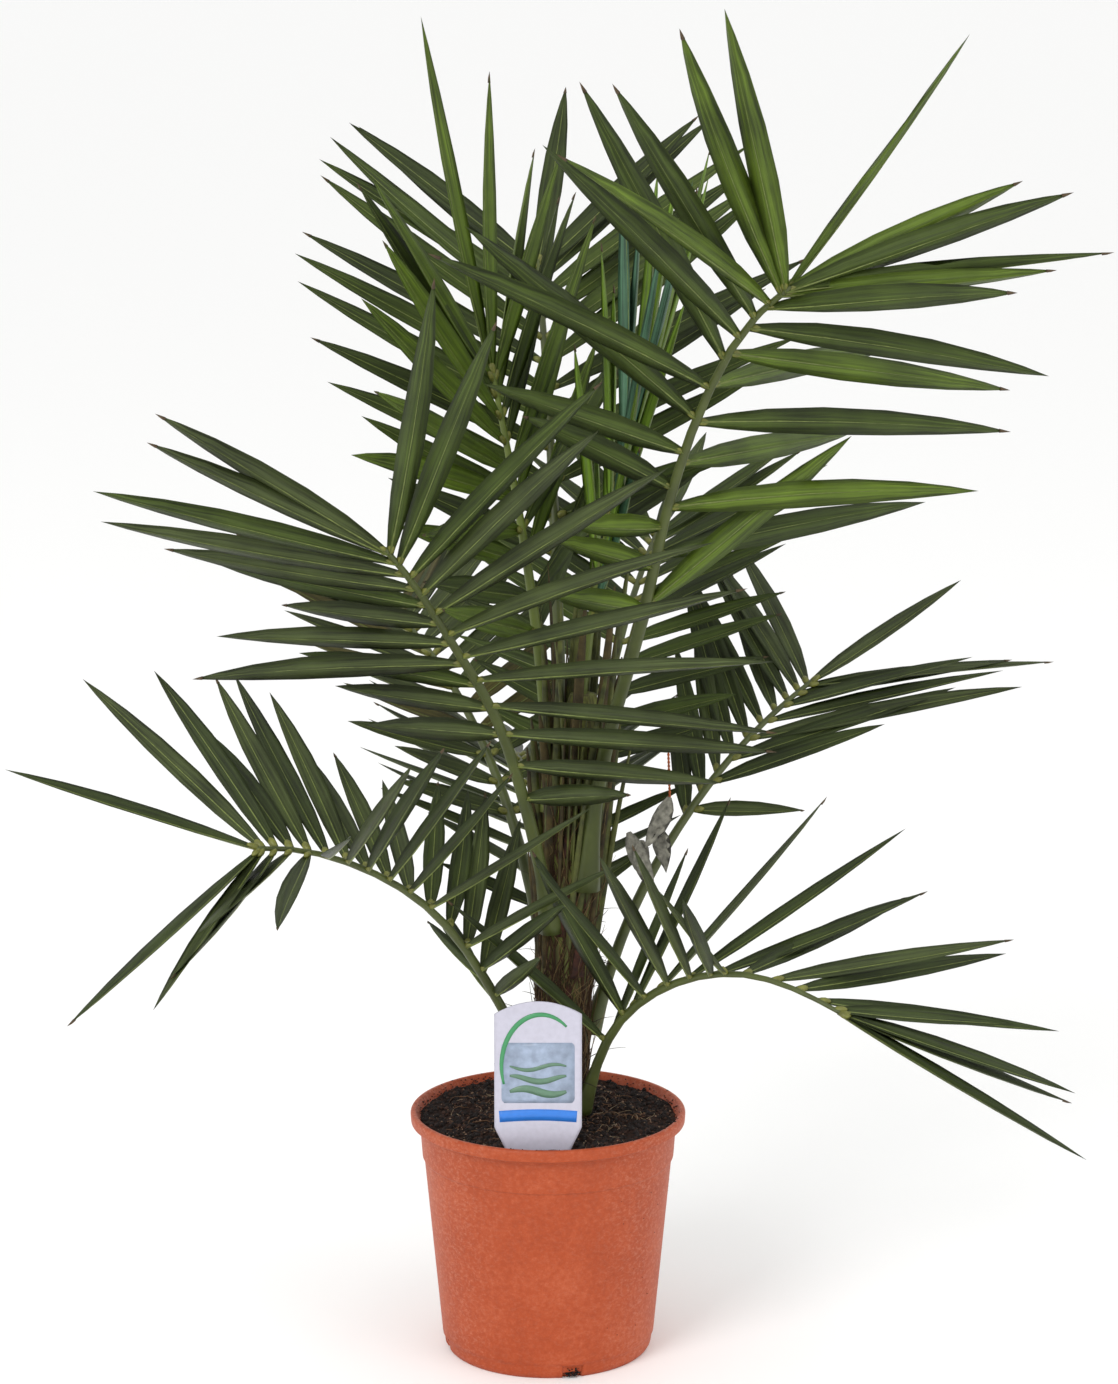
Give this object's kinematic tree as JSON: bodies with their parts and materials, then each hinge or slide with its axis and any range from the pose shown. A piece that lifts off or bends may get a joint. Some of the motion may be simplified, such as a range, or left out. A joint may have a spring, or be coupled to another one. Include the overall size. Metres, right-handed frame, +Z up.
{
  "type": "potted palm",
  "caption": "Young feather palm in a tapered nursery pot, with arching fronds of folded leaflets and a blank plant label.",
  "frame": {"origin": "centre of the pot's flat underside", "axes": "+Z up along the pot and the stem, -Y towards the face with the label, which faces the viewer"},
  "size_m": [0.7041, 0.7257, 0.9252],
  "materials": {
    "terracotta_plastic": "matte",
    "potting_soil": "rough",
    "label_card": "satin",
    "stem_sheaths": "rough",
    "palm_leaf": "satin",
    "young_palm_leaf": "satin"
  },
  "bodies": {
    "root": {"pot": "terracotta_plastic", "soil": "potting_soil", "label": "label_card", "stem": "stem_sheaths", "frond_right_tall": "palm_leaf", "frond_left_mid": "palm_leaf", "frond_left_low_foot": "palm_leaf", "frond_left_low_tip": "palm_leaf", "frond_right_low_foot": "palm_leaf", "frond_right_low_tip": "palm_leaf", "frond_right_back": "palm_leaf", "frond_back_tall": "palm_leaf", "frond_young_left": "young_palm_leaf", "frond_young_centre": "young_palm_leaf", "frond_back_right": "palm_leaf", "frond_back_left": "palm_leaf", "frond_back_low_foot": "palm_leaf", "frond_back_low_tip": "palm_leaf"}
  },
  "joints": []
}
